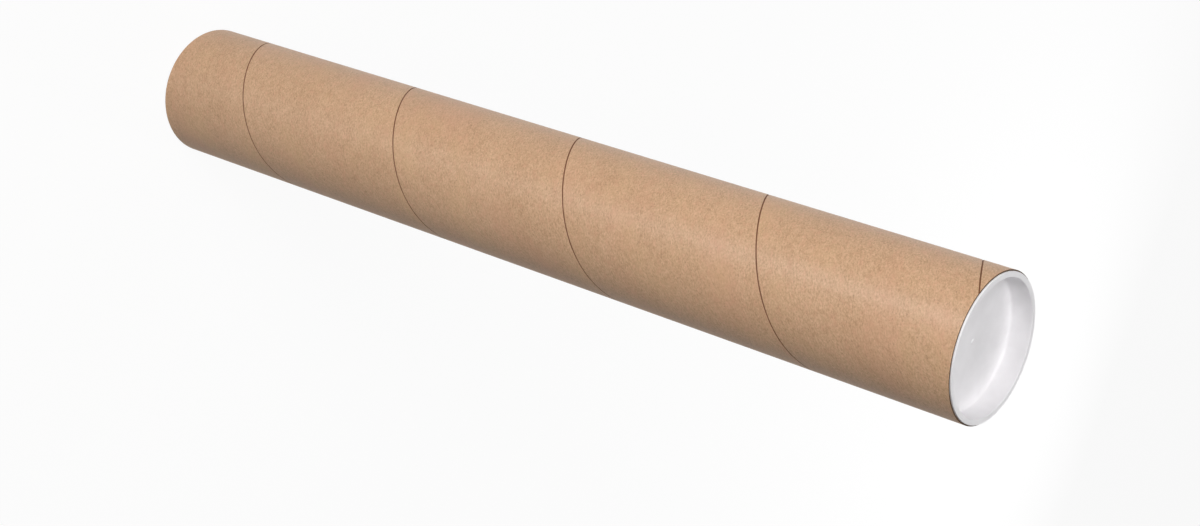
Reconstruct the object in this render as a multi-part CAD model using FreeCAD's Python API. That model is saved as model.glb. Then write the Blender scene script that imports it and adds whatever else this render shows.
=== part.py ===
import FreeCAD, Part
import math
import os

# A mailing tube of spirally wound kraft board, closed at both ends by pressed-in plastic caps.
# It stands on its bottom cap: Z runs up the tube's axis, and Z = 0 is the underside of the bottom cap's
# flange. Both caps are the same moulding. All lengths are millimetres, all angles degrees.

# The board tube
tube_length = 762.0
inside_diameter = 101.6
wall = 2.03

# The outer ply: a paper strip wound as a right-handed helix, with a narrow gap where its edges meet
ply_width = 152.4
ply_thickness = 0.4
seam_gap = 0.8
seam_start_angle = 77.5

# The moulded cap: a flange that sits on the tube's end, and a cup that is pushed into the bore
flange_thickness = 1.5
flange_setback = 0.95
rim_width = 4.0
plug_depth = 16.0
plug_fit = 0.1
plug_wall = 1.5
plug_draft = 1.5
plug_lead_in = 0.8
floor_thickness = 1.5
flange_rounding = 0.4
mouth_rounding = 0.6
floor_fillet = 2.0
gate_diameter = 4.0
gate_height = 0.4

# What grips the bore: a band under the flange, and ribs round the cup that slope on their lower side
seat_band = 1.5
rib_count = 3
rib_flank = 1.6
rib_land = 0.6

# What follows from them
outside_radius = inside_diameter / 2 + wall
tube_bottom = flange_thickness
tube_top = tube_bottom + tube_length

AXIS = FreeCAD.Vector(0, 0, 1)
ORIGIN = FreeCAD.Vector(0, 0, 0)


def at(radius, height):
    """A point of a turned outline, in the XZ plane."""
    return FreeCAD.Vector(radius, 0, height)


def rounded_corner(before, corner, after, radius):
    """The arc of the given radius that touches both sides of a corner."""
    back = (before - corner).normalize()
    ahead = (after - corner).normalize()
    half_angle = back.getAngle(ahead) / 2
    reach = radius / math.tan(half_angle)
    middle = (back + ahead).normalize()
    crown = corner + middle * (radius / math.sin(half_angle) - radius)
    return Part.Arc(corner + back * reach, crown, corner + ahead * reach)


def turned(corners):
    """The solid turned about Z from an outline of (radius, height, rounding) corners."""
    points = [at(radius, height) for radius, height, _ in corners]
    arcs = []
    for i, (_, _, rounding) in enumerate(corners):
        if rounding:
            following = points[(i + 1) % len(points)]
            arcs.append(rounded_corner(points[i - 1], points[i], following, rounding))
        else:
            arcs.append(None)
    edges = []
    for i, arc in enumerate(arcs):
        following = (i + 1) % len(points)
        start = arc.EndPoint if arc else points[i]
        end = arcs[following].StartPoint if arcs[following] else points[following]
        if arc:
            edges.append(arc.toShape())
        edges.append(Part.LineSegment(start, end).toShape())
    face = Part.Face(Part.Wire(edges))
    return face.revolve(ORIGIN, AXIS, 360)


def seam_pitch():
    """How far the winding climbs in one turn: the strip's width measured along the tube's axis."""
    around = math.pi * 2 * outside_radius
    return ply_width / math.sqrt(1 - (ply_width / around) ** 2)


def seam_cutter():
    """The gap between the turns of the outer ply, as a square thread that runs out past both ends."""
    pitch = seam_pitch()
    groove_height = seam_gap * pitch / ply_width
    groove_floor = outside_radius - ply_thickness
    groove_top = outside_radius + ply_thickness
    path = Part.makeHelix(pitch, tube_length + 2 * pitch, groove_floor)
    section = Part.makePolygon([
        at(groove_floor, -groove_height / 2),
        at(groove_top, -groove_height / 2),
        at(groove_top, groove_height / 2),
        at(groove_floor, groove_height / 2),
        at(groove_floor, -groove_height / 2),
    ])
    sweep = Part.BRepOffsetAPI.MakePipeShell(path)
    sweep.setFrenetMode(True)
    sweep.add(section)
    sweep.build()
    sweep.makeSolid()
    cutter = sweep.shape()
    cutter.rotate(ORIGIN, AXIS, seam_start_angle)
    cutter.translate(FreeCAD.Vector(0, 0, tube_bottom - pitch))
    return cutter


def make_tube():
    """The wound board: one glued body, with the seam of its outer ply."""
    start = FreeCAD.Vector(0, 0, tube_bottom)
    outside = Part.makeCylinder(outside_radius, tube_length, start, AXIS)
    bore = Part.makeCylinder(inside_diameter / 2, tube_length, start, AXIS)
    return outside.cut(bore).cut(seam_cutter())


def make_cap():
    """One cap on its own: Z = 0 is the face that sits on the tube's end, and the plug hangs below it."""
    grip_radius = inside_diameter / 2 - plug_fit
    flange_radius = outside_radius - flange_setback
    mouth_radius = flange_radius - rim_width
    slope = math.tan(math.radians(plug_draft))
    floor_height = floor_thickness - plug_depth
    gate_radius = gate_diameter / 2
    gate_top = floor_height + gate_height

    def inner_wall(height):
        return mouth_radius - (flange_thickness - height) * slope

    def outer_wall(height):
        return inner_wall(height) + plug_wall

    ribs = []
    rib_height = rib_flank + rib_land
    rib_step = (plug_depth - seat_band - plug_lead_in) / rib_count
    for i in reversed(range(rib_count)):
        middle = -seat_band - rib_step * (i + 0.5)
        bottom = middle - rib_height / 2
        top = middle + rib_height / 2
        ribs += [
            (outer_wall(bottom), bottom, 0),
            (grip_radius, bottom + rib_flank, 0),
            (grip_radius, top, 0),
            (outer_wall(top), top, 0),
        ]
    return turned([
        (0, -plug_depth, 0),
        (outer_wall(-plug_depth) - plug_lead_in, -plug_depth, 0),
        (outer_wall(plug_lead_in - plug_depth), plug_lead_in - plug_depth, 0),
        *ribs,
        (outer_wall(-seat_band), -seat_band, 0),
        (grip_radius, -seat_band, 0),
        (grip_radius, 0, 0),
        (flange_radius, 0, 0),
        (flange_radius, flange_thickness, flange_rounding),
        (mouth_radius, flange_thickness, mouth_rounding),
        (inner_wall(floor_height), floor_height, floor_fillet),
        (gate_radius, floor_height, 0),
        (gate_radius, gate_top, 0),
        (0, gate_top, 0),
    ])


def make_top_cap():
    """The cap of the upper end."""
    cap = make_cap()
    cap.translate(FreeCAD.Vector(0, 0, tube_top))
    return cap


def make_bottom_cap():
    """The same cap turned over: its flange is what the tube stands on."""
    cap = make_cap()
    cap.rotate(ORIGIN, FreeCAD.Vector(1, 0, 0), 180)
    cap.translate(FreeCAD.Vector(0, 0, tube_bottom))
    return cap


pieces = {
    "tube": make_tube(),
    "top_cap": make_top_cap(),
    "bottom_cap": make_bottom_cap(),
}

os.makedirs("parts", exist_ok=True)
for name, shape in pieces.items():
    shape.exportStep(f"parts/{name}.step")
    box = shape.BoundBox
    print(name, "solids", len(shape.Solids), "valid", shape.isValid(), "volume", round(shape.Volume / 1000, 2), "cm3")
    print("   Z", round(box.ZMin, 3), "to", round(box.ZMax, 3), "across", round(box.XLength, 3))
print("seam pitch", round(seam_pitch(), 2))
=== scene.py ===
# %% [markdown]
# # A mailing tube of wound kraft board
#
# The object is a stiff cardboard tube with a white plastic cap pushed into each end. The imported model
# already has the three pieces at their true size: `tube`, `top_cap` and `bottom_cap`. This lesson gives
# them their looks. The tube stands on its bottom cap, so Z runs along its axis, and one unit is a metre.
#
# We start by loading that model and reading its box.

# %% Load the imported model
import math

import bmesh
import bpy
from mathutils import Matrix, Vector


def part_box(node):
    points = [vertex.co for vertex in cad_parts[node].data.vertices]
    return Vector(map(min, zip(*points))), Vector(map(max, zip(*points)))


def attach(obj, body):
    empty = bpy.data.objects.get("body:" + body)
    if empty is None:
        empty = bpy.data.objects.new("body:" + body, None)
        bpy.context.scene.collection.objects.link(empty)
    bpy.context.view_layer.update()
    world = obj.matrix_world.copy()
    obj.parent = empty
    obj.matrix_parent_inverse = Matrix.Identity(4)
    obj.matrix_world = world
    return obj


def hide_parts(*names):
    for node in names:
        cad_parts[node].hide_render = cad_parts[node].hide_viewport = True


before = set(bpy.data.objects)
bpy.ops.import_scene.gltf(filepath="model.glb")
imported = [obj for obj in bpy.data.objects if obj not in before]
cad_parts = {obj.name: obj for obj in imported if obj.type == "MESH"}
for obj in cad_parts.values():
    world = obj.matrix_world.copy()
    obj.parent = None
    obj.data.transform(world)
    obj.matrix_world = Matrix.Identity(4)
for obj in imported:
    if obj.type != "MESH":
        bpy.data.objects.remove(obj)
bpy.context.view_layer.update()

# %% [markdown]
# ## Sizes
#
# The places of the pieces come from the model itself. What a box can't tell, such as how wide the paper
# strip is or how round an edge is, is named here once. Nearly everything below follows from these values.

# %% Name the sizes
MM = 0.001
TURN = 2 * math.pi

tube_low, tube_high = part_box("tube")
tube_bottom = tube_low.z
tube_top = tube_high.z
tube_radius = (tube_high.x - tube_low.x) / 2
bore_radius = 50.8 * MM

ply_width = 152.4 * MM
ply_thickness = 0.4 * MM
seam_gap = 0.8 * MM
outer_seam_start = math.radians(77.5)
inner_seam_start = math.radians(215)

pitch = ply_width / math.sqrt(1 - (ply_width / (TURN * tube_radius)) ** 2)
climb = math.atan2(pitch, TURN * tube_radius)
print(f"tube {2 * tube_radius / MM:.2f} mm across, {(tube_top - tube_bottom) / MM:.1f} mm long")
print(f"the winding climbs {pitch / MM:.1f} mm a turn, at {math.degrees(climb):.1f} degrees")

# %% [markdown]
# ## Writing shaders as sums
#
# A node tree is easier to read as arithmetic. `Link` wraps one output socket, and Python's operators on
# it add the Math nodes for us, so that `1 - mask` or `0.6 * fibres + grain` can be written as they are
# thought. Every other node comes from the one method `Finish.node`, which takes the node's type, its
# settings and what goes into its sockets.

# %% A socket that Python can do sums with
class Link:
    """One output socket. Arithmetic on it adds Math nodes and gives their output."""

    def __init__(self, finish, socket):
        self.finish = finish
        self.socket = socket

    def __add__(self, other):
        return self.finish.math("ADD", self, other)

    def __radd__(self, other):
        return self.finish.math("ADD", other, self)

    def __sub__(self, other):
        return self.finish.math("SUBTRACT", self, other)

    def __rsub__(self, other):
        return self.finish.math("SUBTRACT", other, self)

    def __mul__(self, other):
        return self.finish.math("MULTIPLY", self, other)

    def __rmul__(self, other):
        return self.finish.math("MULTIPLY", other, self)

    def __truediv__(self, other):
        return self.finish.math("DIVIDE", self, other)


# %% One way to add any node
class Finish:
    """A node tree, and the ways in which nodes are added to it."""

    def __init__(self, tree):
        self.tree = tree
        self.tree.nodes.clear()

    def node(self, kind, settings=None, inputs=None, out=0):
        """Adds a node, sets it, fills its sockets, and gives the output or outputs asked for."""
        made = self.tree.nodes.new("ShaderNode" + kind)
        for name, value in (settings or {}).items():
            setattr(made, name, value)
        for name, value in (inputs or {}).items():
            if isinstance(value, Link):
                self.tree.links.new(value.socket, made.inputs[name])
            else:
                made.inputs[name].default_value = value
        if isinstance(out, tuple):
            return [Link(self, made.outputs[name]) for name in out]
        return Link(self, made.outputs[out]) if len(made.outputs) else made

    def math(self, operation, first, second=0.0):
        return self.node("Math", {"operation": operation}, {0: first, 1: second})

    def mix(self, factor, without, full):
        """A colour between two colours."""
        return self.node("Mix", {"data_type": "RGBA"}, {0: factor, 6: without, 7: full}, out=2)

    def ramp(self, value, low, high):
        """0 where the value is at or under low, 1 where it is at or over high. low may be the larger."""
        return self.node("MapRange", {"clamp": True}, {0: value, 1: low, 2: high, 3: 0.0, 4: 1.0})

    def point(self, x, y, z):
        return self.node("CombineXYZ", None, {0: x, 1: y, 2: z})

    def noise(self, point, detail=2.0, roughness=0.5):
        """Soft random grey, about 0.5 on average. Its grains are about one unit of the point apart."""
        return self.node("TexNoise", None, {"Vector": point, "Scale": 1.0, "Detail": detail, "Roughness": roughness})

    def place(self):
        """The three parts of a point's place, in the object's own metres."""
        where = self.node("TexCoord", out="Object")
        return self.node("SeparateXYZ", None, {0: where}, out=("X", "Y", "Z"))


def new_finish(name):
    material = bpy.data.materials.new(name)
    material.use_nodes = True
    return material, Finish(material.node_tree)


def colour(red, green, blue):
    """The scene-linear colour, with alpha, of a colour as a screen shows it, 0 to 255."""
    def linear(level):
        share = level / 255
        return share / 12.92 if share <= 0.04045 else ((share + 0.055) / 1.055) ** 2.4
    return (linear(red), linear(green), linear(blue), 1.0)


print("kraft brown in linear light:", [round(v, 3) for v in colour(196, 160, 127)])

# %% [markdown]
# ## Kraft paper, unrolled
#
# The outer skin is a strip of brown kraft paper. Its fibres lie along the strip, so they climb round the
# tube with it, and they stop at each seam, where another stretch of the strip lies alongside. A texture
# that is laid on in X, Y and Z can't do that.
#
# So the shader unrolls the strip. From a point's angle and height it works out how many turns of the
# winding lie under it. The whole part of that number says which turn of the strip the point is on, and
# the rest says how far across the strip it is. The distance along the strip follows from the same two
# numbers. Noise that is read at (along, across) then has the strip's own grain.

# %% Where a point lies on the strip
def on_the_strip(finish, radius, start):
    """(along, across) in metres of the wound strip whose edge leaves the tube's bottom at start."""
    x, y, z = finish.place()
    angle = finish.math("ARCTAN2", y, x)
    height = z - tube_bottom
    turns = height / pitch - (angle - start) / TURN
    strip = finish.math("FLOOR", turns)
    across = (turns - strip) * ply_width
    turn_shift = TURN * radius * math.cos(climb)
    along = angle * (radius * math.cos(climb)) + height * math.sin(climb) + strip * turn_shift
    return along, across


print(f"one turn of the strip is {TURN * tube_radius / math.cos(climb) / MM:.1f} mm long")


# %% The paper itself
def paper(name, start, tones, radius, sheen_roughness=0.50):
    """Kraft paper with flecks, fibres, soft clouds, and a dark line of painted shade where the strip's edges meet."""
    dark, light, rosy, straw, fleck_brown_and_seam_shade = tones
    material, finish = new_finish(name)
    along, across = on_the_strip(finish, radius, start)

    def grains(length, width, seed, detail=2.0, roughness=0.5):
        spot = finish.point(along / length, across / width, seed)
        return finish.noise(spot, detail, roughness)

    clouds = grains(60 * MM, 38 * MM, 1.3, 3.0)
    mottle = grains(9 * MM, 7 * MM, 4.1, 3.0, 0.6)
    fibres = grains(4.2 * MM, 1.1 * MM, 7.7, 3.0, 0.66)
    grain = grains(1.7 * MM, 1.2 * MM, 9.2, 3.0, 0.72)
    tone = (0.52 + 0.35 * (clouds - 0.5) + 0.5 * (mottle - 0.5)
            + 0.9 * (fibres - 0.5) + 2.2 * (grain - 0.5))
    brown = finish.mix(finish.ramp(tone, 0.0, 1.0), dark, light)

    warm = finish.ramp(grains(70 * MM, 30 * MM, 12.5), 0.50, 0.72)
    yellow = finish.ramp(grains(55 * MM, 34 * MM, 15.8), 0.52, 0.74)
    reddish = finish.ramp(grains(5.5 * MM, 4.5 * MM, 18.1, 2.0), 0.50, 0.72)
    brown = finish.mix(0.35 * warm, brown, rosy)
    brown = finish.mix(0.30 * yellow, brown, straw)
    brown = finish.mix(0.38 * reddish, brown, rosy)

    dark_flecks = finish.ramp(grains(1.8 * MM, 1.1 * MM, 21.4, 1.0), 0.64, 0.78)
    pale_fibres = finish.ramp(grains(3.4 * MM, 0.7 * MM, 24.9, 1.0), 0.66, 0.80)
    brown = finish.mix(0.34 * dark_flecks, brown, fleck_brown_and_seam_shade)
    brown = finish.mix(0.40 * pale_fibres, brown, light)

    edge_distance = finish.math("MINIMUM", across, ply_width - across)
    in_gap = finish.ramp(edge_distance, 0.78 * seam_gap, 0.50 * seam_gap)
    # painted shade: the gap, where the ply beneath shows, is painted dark brown to stand for the groove's shadow
    brown = finish.mix(0.92 * in_gap, brown, fleck_brown_and_seam_shade)

    relief = 0.5 * fibres + 0.5 * grain
    bump = finish.node("Bump", None, {"Strength": 0.38, "Distance": 0.12 * MM, "Height": relief})
    shine = sheen_roughness + 0.16 * (mottle - 0.5) + 0.10 * (grain - 0.5) + 0.3 * in_gap
    shader = finish.node("BsdfPrincipled", None, {
        "Base Color": brown, "Roughness": shine, "Specular IOR Level": 0.6, "Normal": bump,
        "Anisotropic": 0.6, "Anisotropic Rotation": 0.25 + climb / TURN,
    })
    finish.node("OutputMaterial", None, {"Surface": shader})
    return material


kraft_outside = paper(
    "kraft_outside", outer_seam_start,
    (colour(170, 130, 92), colour(219, 180, 145), colour(207, 156, 125), colour(213, 175, 130), colour(106, 60, 30)),
    tube_radius,
)
kraft_inside = paper(
    "kraft_inside", inner_seam_start,
    (colour(152, 126, 102), colour(190, 163, 136), colour(178, 146, 122), colour(182, 160, 130), colour(104, 80, 60)),
    bore_radius, 0.7,
)
print("two papers:", kraft_outside.name, kraft_inside.name)

# %% [markdown]
# ## The cut edge of the board
#
# At its ends the tube is sawn square, and the plies of grey-brown board show as thin rings. Only the
# outermost ring is seen beside the cap, but it draws the fine dark line around it, and the whole edge
# shows when a cap is pulled. The rings come from the distance to the axis, divided by a ply's thickness.
# The outermost millimetre is painted darker, as painted shade of the narrow step beside the cap's flange, so that the
# line is dark enough.

# %% The cut edge
def cut_board(name):
    material, finish = new_finish(name)
    x, y, z = finish.place()
    radius = finish.math("SQRT", x * x + y * y)
    plies = (radius - bore_radius) / ply_thickness
    within_ply = finish.math("FRACT", plies)
    glue_line = finish.ramp(finish.math("ABSOLUTE", within_ply - 0.5), 0.36, 0.48)
    fuzz = finish.noise(finish.point(x / (0.7 * MM), y / (0.7 * MM), z / (0.7 * MM)), 3.0, 0.65)
    board = finish.mix(finish.ramp(fuzz, 0.25, 0.75), colour(112, 86, 62), colour(158, 128, 100))
    board = finish.mix(0.55 * glue_line, board, colour(84, 60, 40))
    # painted shade: the outermost millimetre of the cut edge, beside the cap's flange, is darkened to stand for the
    # step's shadow
    painted_gap_shade = finish.ramp(radius, tube_radius - 1.3 * MM, tube_radius - 0.7 * MM)
    board = finish.mix(0.75 * painted_gap_shade, board, colour(62, 42, 28))
    height = fuzz - 0.4 * glue_line
    bump = finish.node("Bump", None, {"Strength": 0.6, "Distance": 0.2 * MM, "Height": height})
    shader = finish.node("BsdfPrincipled", None, {
        "Base Color": board, "Roughness": 0.85 + 0.1 * (fuzz - 0.5), "Specular IOR Level": 0.25, "Normal": bump,
    })
    finish.node("OutputMaterial", None, {"Surface": shader})
    return material


board_edge = cut_board("board_edge")
print("finish of the sawn edge:", board_edge.name)

# %% [markdown]
# ## Winding the tube
#
# A plain cylinder with a line painted on it would do from far away, but the seam of a real tube is a
# step: two paper edges with a narrow gap between them that catches shadow. So we wind the skin as the
# machine does. We take the strip's section, from the middle of one gap to the middle of the next, and
# carry it round and up in small steps. Each turn shares its last row of points with the first row of
# the turn above it, which closes the skin. The winding runs past both ends and is sawn off square, as
# the real one is, and a ring of faces joins the outer skin to the inner one.

# %% The strip's section
steps_per_turn = 240
points_across = 18


def strip_section():
    """(distance across the strip, depth under its surface) from the middle of one gap to the next."""
    half_gap = seam_gap / 2
    edge = [
        (0.0, 1.0), (0.88, 1.0), (1.0, 0.30), (1.12, 0.12), (1.4, 0.03), (2.2, 0.0),
    ]
    left = [(share * half_gap, depth * ply_thickness) for share, depth in edge]
    right = [(ply_width - distance, depth) for distance, depth in reversed(left)]
    first, last = left[-1][0], right[0][0]
    step = (last - first) / points_across
    middle = [(first + step * i, 0.0) for i in range(1, points_across)]
    return left + middle + right


print("points in the strip's section:", len(strip_section()))


# %% One wound skin
def wind_skin(mesh, radius, inwards, start, finish_index):
    """Adds a wound skin to a bmesh. inwards is -1 if the gap sinks towards the axis, 1 if away from it."""
    section = strip_section()
    last = len(section) - 1
    turns = (tube_top - tube_bottom) / pitch + 2
    columns = math.ceil(turns * steps_per_turn)
    points = []
    for i in range(columns + 1):
        turn = i / steps_per_turn - 1
        angle = start + turn * TURN
        column = []
        for across, depth in section[:-1]:
            out = radius + inwards * depth
            up = tube_bottom + pitch * turn + across / math.cos(climb)
            column.append(mesh.verts.new((out * math.cos(angle), out * math.sin(angle), up)))
        points.append(column)

    def point(i, j):
        """Row j of column i. The row past a turn's last one is the first row of the turn above."""
        return points[i + steps_per_turn][0] if j == last else points[i][j]

    for i in range(columns):
        for j in range(last):
            if j == last - 1 and i + 1 + steps_per_turn > columns:
                continue
            corners = [point(i, j), point(i + 1, j), point(i + 1, j + 1), point(i, j + 1)]
            if inwards > 0:
                corners.reverse()
            face = mesh.faces.new(corners)
            face.material_index = finish_index
            face.smooth = True


# %% Saw both ends square and close them
def saw_end(mesh, height, upwards, finish_index):
    """Cuts off what lies past the height, and closes the board between its outer and inner skin."""
    everything = mesh.verts[:] + mesh.edges[:] + mesh.faces[:]
    bmesh.ops.bisect_plane(
        mesh, geom=everything, dist=1e-7, plane_co=(0, 0, height), plane_no=(0, 0, upwards), clear_outer=True)
    rim = [edge for edge in mesh.edges if edge.is_boundary and all(abs(v.co.z - height) < 1e-5 for v in edge.verts)]
    closing = bmesh.ops.bridge_loops(mesh, edges=rim)["faces"]
    for face in closing:
        face.material_index = finish_index
        face.smooth = False
    return len(closing)


def wind_tube():
    mesh = bmesh.new()
    wind_skin(mesh, tube_radius, -1, outer_seam_start, 0)
    wind_skin(mesh, bore_radius, 1, inner_seam_start, 2)
    for height, upwards in ((tube_bottom, -1), (tube_top, 1)):
        print("faces across the cut edge:", saw_end(mesh, height, upwards, 1))
    bmesh.ops.recalc_face_normals(mesh, faces=mesh.faces[:])
    data = bpy.data.meshes.new("wound_tube")
    mesh.to_mesh(data)
    open_edges = sum(not edge.is_manifold for edge in mesh.edges)
    mesh.free()
    data.set_sharp_from_angle(angle=math.radians(38))
    for material in (kraft_outside, board_edge, kraft_inside):
        data.materials.append(material)
    tube = bpy.data.objects.new("wound_tube", data)
    bpy.context.scene.collection.objects.link(tube)
    print("wound tube:", len(data.polygons), "faces, open edges:", open_edges)
    return tube


wound_tube = wind_tube()
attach(wound_tube, "tube")
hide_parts("tube")

# %% [markdown]
# ## White polyethylene
#
# The caps are injection moulded in white polyethylene: bright but not quite white, waxy, and shiny
# enough to catch soft streaks of light. A little subsurface light takes the hardness off its shadows.
# The mould leaves faint rings round the axis and a slight ripple in the skin, which only bend the
# highlights, so they go into the bump and the roughness.

# %% The caps' plastic
def white_plastic(name):
    material, finish = new_finish(name)
    x, y, z = finish.place()
    radius = finish.math("SQRT", x * x + y * y)
    ripple = finish.noise(finish.point(x / (14 * MM), y / (14 * MM), z / (14 * MM)), 2.0)
    skin = finish.noise(finish.point(x / (1.1 * MM), y / (1.1 * MM), z / (1.1 * MM)), 2.0)
    rings = finish.math("SINE", radius * (TURN / (1.6 * MM)))
    white = finish.mix(finish.ramp(ripple, 0.3, 0.7), colour(239, 237, 239), colour(246, 244, 246))
    height = ripple + 0.06 * skin + 0.012 * rings
    bump = finish.node("Bump", None, {"Strength": 0.25, "Distance": 0.5 * MM, "Height": height})
    shader = finish.node("BsdfPrincipled", None, {
        "Base Color": white, "Roughness": 0.40 + 0.14 * (skin - 0.5) + 0.10 * (ripple - 0.5),
        "Specular IOR Level": 0.5, "IOR": 1.51, "Subsurface Weight": 0.25,
        "Subsurface Radius": (1.0, 1.0, 1.0), "Subsurface Scale": 1.5 * MM, "Normal": bump,
    })
    finish.node("OutputMaterial", None, {"Surface": shader})
    return material


cap_white = white_plastic("cap_white")
print("finish of the caps:", cap_white.name)

# %% [markdown]
# ## The caps
#
# A cap is a turned shape: a wide flange that sits on the board's cut edge, and a thin-walled cup that is
# pushed into the bore. Ribs round the cup slope on their lower side, so that the cap slides in easily and
# then holds. The outline is a short list of corners, and each corner that the mould rounds has a radius.
# We replace those corners by arcs, then turn the outline about the axis.

# %% Cap sizes
flange_thickness = 1.5 * MM
flange_radius = tube_radius - 0.95 * MM
mouth_radius = flange_radius - 4.0 * MM
grip_radius = bore_radius - 0.1 * MM
plug_depth = 16 * MM
plug_wall = 1.5 * MM
plug_slope = math.tan(math.radians(1.5))
plug_lead_in = 0.8 * MM
floor_height = 1.5 * MM - plug_depth
seat_band = 1.5 * MM
rib_count = 3
rib_flank = 1.6 * MM
rib_land = 0.6 * MM
gate_radius = 2 * MM
gate_height = 0.4 * MM
turning_steps = 256


def inner_wall(height):
    """How far the cup's inner wall is from the axis, at a height over the tube's end."""
    return mouth_radius - (flange_thickness - height) * plug_slope


def rib_corners():
    """The corners of the ribs, from the lowest rib up."""
    step = (plug_depth - seat_band - plug_lead_in) / rib_count
    corners = []
    for i in reversed(range(rib_count)):
        bottom = -seat_band - step * (i + 0.5) - (rib_flank + rib_land) / 2
        top = bottom + rib_flank + rib_land
        corners += [
            (inner_wall(bottom) + plug_wall, bottom, 0.3 * MM),
            (grip_radius, bottom + rib_flank, 0.25 * MM),
            (grip_radius, top, 0.15 * MM),
            (inner_wall(top) + plug_wall, top, 0.2 * MM),
        ]
    return corners


# %% The cap's section, corner by corner
def cap_corners():
    """(distance from the axis, height over the tube's end, rounding) round half of the cap's section."""
    tip = plug_lead_in - plug_depth
    gate_top = floor_height + gate_height
    return [
        (0, -plug_depth, 0),
        (inner_wall(-plug_depth) + plug_wall - plug_lead_in, -plug_depth, 0.2 * MM),
        (inner_wall(tip) + plug_wall, tip, 0.2 * MM),
        *rib_corners(),
        (inner_wall(-seat_band) + plug_wall, -seat_band, 0.2 * MM),
        (grip_radius, -seat_band, 0.15 * MM),
        (grip_radius, 0, 0),
        (flange_radius, 0, 0.08 * MM),
        (flange_radius, flange_thickness, 0.4 * MM),
        (mouth_radius, flange_thickness, 0.6 * MM),
        (inner_wall(floor_height), floor_height, 2.0 * MM),
        (gate_radius, floor_height, 0.12 * MM),
        (gate_radius, gate_top, 0.15 * MM),
        (0, gate_top, 0),
    ]


print("corners in the cap's section:", len(cap_corners()))


# %% Round the corners, then turn the outline
def rounded(corners, steps=5):
    """The outline with an arc, in a few short steps, at each corner that has a rounding."""
    outline = []
    for i, (out, up, rounding) in enumerate(corners):
        corner = Vector((out, up))
        if not rounding:
            outline.append(corner)
            continue
        before = (Vector(corners[i - 1][:2]) - corner).normalized()
        after = (Vector(corners[i + 1][:2]) - corner).normalized()
        half_angle = before.angle(after) / 2
        reach = rounding / math.tan(half_angle)
        centre = corner + (before + after).normalized() * (rounding / math.sin(half_angle))
        first = (corner + before * reach - centre).normalized()
        last = (corner + after * reach - centre).normalized()
        for k in range(steps + 1):
            outline.append(centre + first.slerp(last, k / steps) * rounding)
    return outline


def turned(name, outline, material):
    """A solid of revolution about Z. The outline starts and ends on the axis."""
    mesh = bmesh.new()
    rings = []
    for out, up in outline:
        if out < 1e-9:
            rings.append([mesh.verts.new((0, 0, up))])
            continue
        angles = [TURN * k / turning_steps for k in range(turning_steps)]
        rings.append([mesh.verts.new((out * math.cos(a), out * math.sin(a), up)) for a in angles])
    for lower, upper in zip(rings, rings[1:]):
        for k in range(turning_steps):
            following = (k + 1) % turning_steps
            corners = [lower[k % len(lower)], lower[following % len(lower)],
                       upper[following % len(upper)], upper[k % len(upper)]]
            face = mesh.faces.new(list(dict.fromkeys(corners)))
            face.smooth = True
    bmesh.ops.recalc_face_normals(mesh, faces=mesh.faces[:])
    data = bpy.data.meshes.new(name)
    mesh.to_mesh(data)
    mesh.free()
    data.set_sharp_from_angle(angle=math.radians(35))
    data.materials.append(material)
    piece = bpy.data.objects.new(name, data)
    bpy.context.scene.collection.objects.link(piece)
    return piece


# %% Make both caps from the same outline
def make_cap(name, node, height, upwards):
    """A cap seated on the tube's end at the height. upwards is 1 for the top end and -1 for the bottom."""
    cap = turned(name, rounded(cap_corners()), cap_white)
    seat = Matrix.Translation((0, 0, height))
    if upwards < 0:
        seat = seat @ Matrix.Rotation(math.pi, 4, "X")
    cap.data.transform(seat)
    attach(cap, node)
    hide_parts(node)
    print(name, len(cap.data.polygons), "faces")
    return cap


top_plug = make_cap("top_plug", "top_cap", tube_top, 1)
bottom_plug = make_cap("bottom_plug", "bottom_cap", tube_bottom, -1)

# %% [markdown]
# ## The camera
#
# The photograph looks down the tube from its near end, with a long lens. Our tube stands, so the camera
# stands off to the -Y side, looks down at it, and is rolled until the tube lies across the picture.
# The place, the angles and the lens come from fitting a pinhole camera to the tube's outline.

# %% Camera
picture_width = 1200
focal_pixels = 2126.9
camera_place = Vector((0.0310, -1.2587, 1.3610))
look_down = math.radians(36.012)
camera_roll = math.radians(109.142)
film_width = 36

lens = bpy.data.cameras.new("camera")
lens.sensor_width = film_width
lens.lens = film_width * focal_pixels / picture_width
camera = bpy.data.objects.new("camera", lens)
camera.matrix_world = (
    Matrix.Translation(camera_place)
    @ Matrix.Rotation(math.pi / 2 - look_down, 4, "X")
    @ Matrix.Rotation(camera_roll, 4, "Z")
)
bpy.context.scene.collection.objects.link(camera)
bpy.context.scene.camera = camera
print(f"lens {lens.lens:.1f} mm")

# %% [markdown]
# ## Light
#
# The photograph has soft light from in front and from above the tube as it lies in the picture, where
# above is -X here. The band of light along the tube is brightest a little above its middle, and its lower
# edge is in shade. Two large lamps in front, high up, give most of the light. A small low one draws the
# band, because a small lamp leaves a narrow streak on satin paper. The side and overhead lamps light the
# cap, and one behind keeps the back from going dark in the other views. Light adds up, so a render of
# each lamp alone gave a first mixture, and the watts were then rounded and changed. The world
# gives a little of the room's light, and lets the camera see plain white.

# %% Lamps
middle = Vector((0, 0, (tube_bottom + tube_top) / 2))


def lamp(name, around, up, distance, width, height, watts):
    """An area lamp that shines on the middle of the tube. around is in degrees from -Y towards -X."""
    light = bpy.data.lights.new(name, "AREA")
    light.shape = "RECTANGLE"
    light.size = width
    light.size_y = height
    light.energy = watts
    made = bpy.data.objects.new(name, light)
    around, up = math.radians(around), math.radians(up)
    towards = Vector((-math.sin(around) * math.cos(up), -math.cos(around) * math.cos(up), math.sin(up)))
    made.location = middle + towards * distance
    made.rotation_euler = towards.to_track_quat("Z", "Y").to_euler()
    bpy.context.scene.collection.objects.link(made)
    return made


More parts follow.
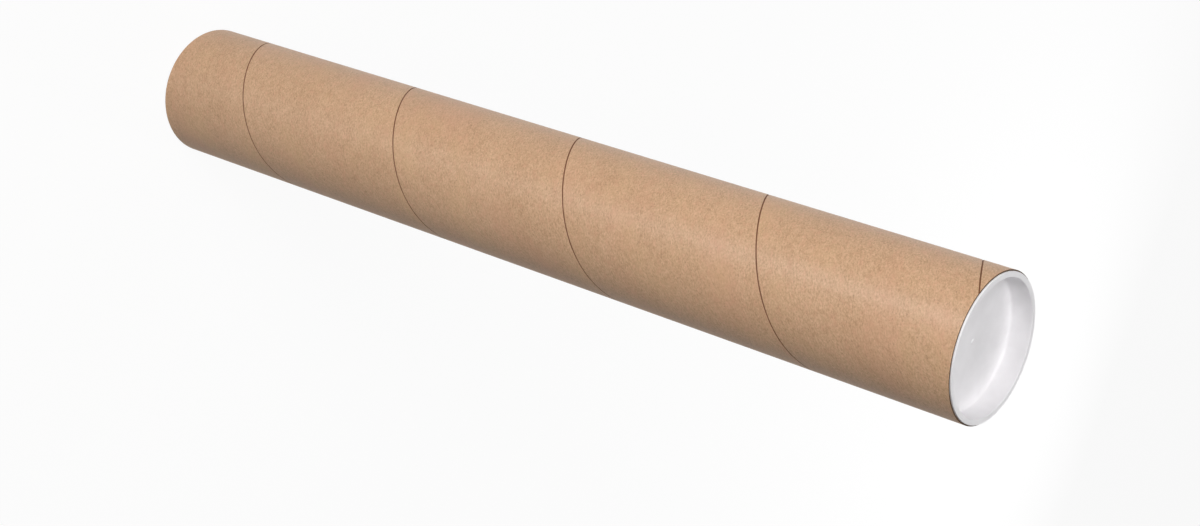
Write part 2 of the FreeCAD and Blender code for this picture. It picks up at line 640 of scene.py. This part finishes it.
lamp("front", 5, 42, 3.0, 1.4, 1.4, 27)
lamp("front_side", 28, 40, 3.0, 1.2, 1.2, 19)
lamp("low_front", 22, -5, 2.0, 0.3, 0.3, 14.5)
lamp("side", 100, 25, 3.0, 0.9, 0.9, 5)
lamp("overhead", 0, 80, 2.5, 1.2, 1.2, 13)
lamp("back", 180, 8, 2.0, 0.5, 0.5, 12)

# %% The room, as light and as what the camera sees
room_light = 0.05

world = bpy.data.worlds.new("room")
world.use_nodes = True
bpy.context.scene.world = world
room = Finish(world.node_tree)
seen, glossy, through = room.node("LightPath", out=("Is Camera Ray", "Is Glossy Ray", "Is Transmission Ray"))
shows_white = room.math("MAXIMUM", seen, room.math("MAXIMUM", glossy, through))
soft_light = room.node("Background", None, {"Color": (1, 1, 1, 1), "Strength": room_light})
plain_white = room.node("Background", None, {"Color": (1, 1, 1, 1), "Strength": 1.0})
surface = room.node("MixShader", None, {0: shows_white, 1: soft_light, 2: plain_white})
room.node("OutputWorld", None, {"Surface": surface})
print("the room's light on the object:", room_light)

# %% [markdown]
# ## Floor
#
# The tube stands on a plain white floor. In the photograph there is nothing under it, so the floor is
# close to white for the camera and keeps only a faint, soft shadow.

# %% Floor
floor_size = 12.0
floor_glow = 0.93
grey_for_light = (0.45, 0.45, 0.45, 1)
white_for_eyes = (0.95, 0.95, 0.95, 1)


def white_floor():
    material, finish = new_finish("floor")
    seen, glossy, through = finish.node("LightPath", out=("Is Camera Ray", "Is Glossy Ray", "Is Transmission Ray"))
    shows_white = finish.math("MAXIMUM", seen, finish.math("MAXIMUM", glossy, through))
    matt = finish.node("BsdfDiffuse", None, {"Color": finish.mix(seen, grey_for_light, white_for_eyes)})
    glow = finish.node("Emission", None, {"Color": (1, 1, 1, 1), "Strength": 1.0})
    surface = finish.node("MixShader", None, {0: floor_glow * shows_white, 1: matt, 2: glow})
    finish.node("OutputMaterial", None, {"Surface": surface})
    return material


floor_data = bpy.data.meshes.new("floor")
half = floor_size / 2
floor_corners = [(-half, -half, 0), (half, -half, 0), (half, half, 0), (-half, half, 0)]
floor_data.from_pydata(floor_corners, [], [(0, 1, 2, 3)])
floor_data.materials.append(white_floor())
floor = bpy.data.objects.new("floor", floor_data)
bpy.context.scene.collection.objects.link(floor)
print(f"floor {floor_size:.0f} m wide")

# %% [markdown]
# ## Colour management
#
# The Standard view shows a colour as it was written.

# %% Finish
bpy.context.scene.view_settings.view_transform = "Standard"
